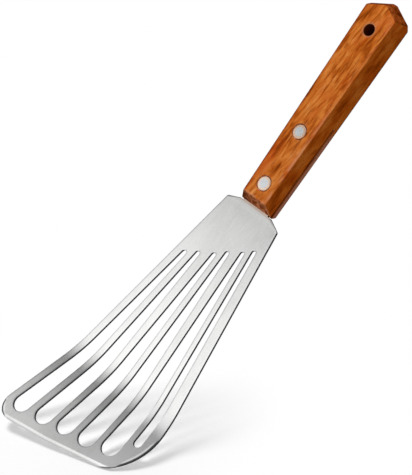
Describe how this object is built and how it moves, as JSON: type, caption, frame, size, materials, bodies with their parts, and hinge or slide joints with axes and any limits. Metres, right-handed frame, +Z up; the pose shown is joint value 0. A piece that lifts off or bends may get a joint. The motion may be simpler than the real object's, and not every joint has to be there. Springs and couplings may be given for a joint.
{
  "type": "fish spatula",
  "caption": "Slotted fish spatula: a thin fanned steel blade with an upturned tip, riveted into a bevelled wooden handle with a hanging hole.",
  "frame": {"origin": "centre of the hanging hole, halfway through the handle's thickness", "axes": "+Z up along the handle to its gabled end, the blade hangs down; the upturned face looks along -Y; +Y is the handle's back, towards a wall"},
  "size_m": [0.0852, 0.034, 0.2871],
  "materials": {
    "blade_steel": "fine brushed, polished edges",
    "handle_wood": "oiled reddish-brown hardwood, satin",
    "rivet_metal": "polished flush heads"
  },
  "bodies": {
    "root": {"blade": "blade_steel", "handle": "handle_wood", "front_rivet_male": "rivet_metal", "front_rivet_female": "rivet_metal", "rear_rivet_male": "rivet_metal", "rear_rivet_female": "rivet_metal"}
  },
  "joints": []
}
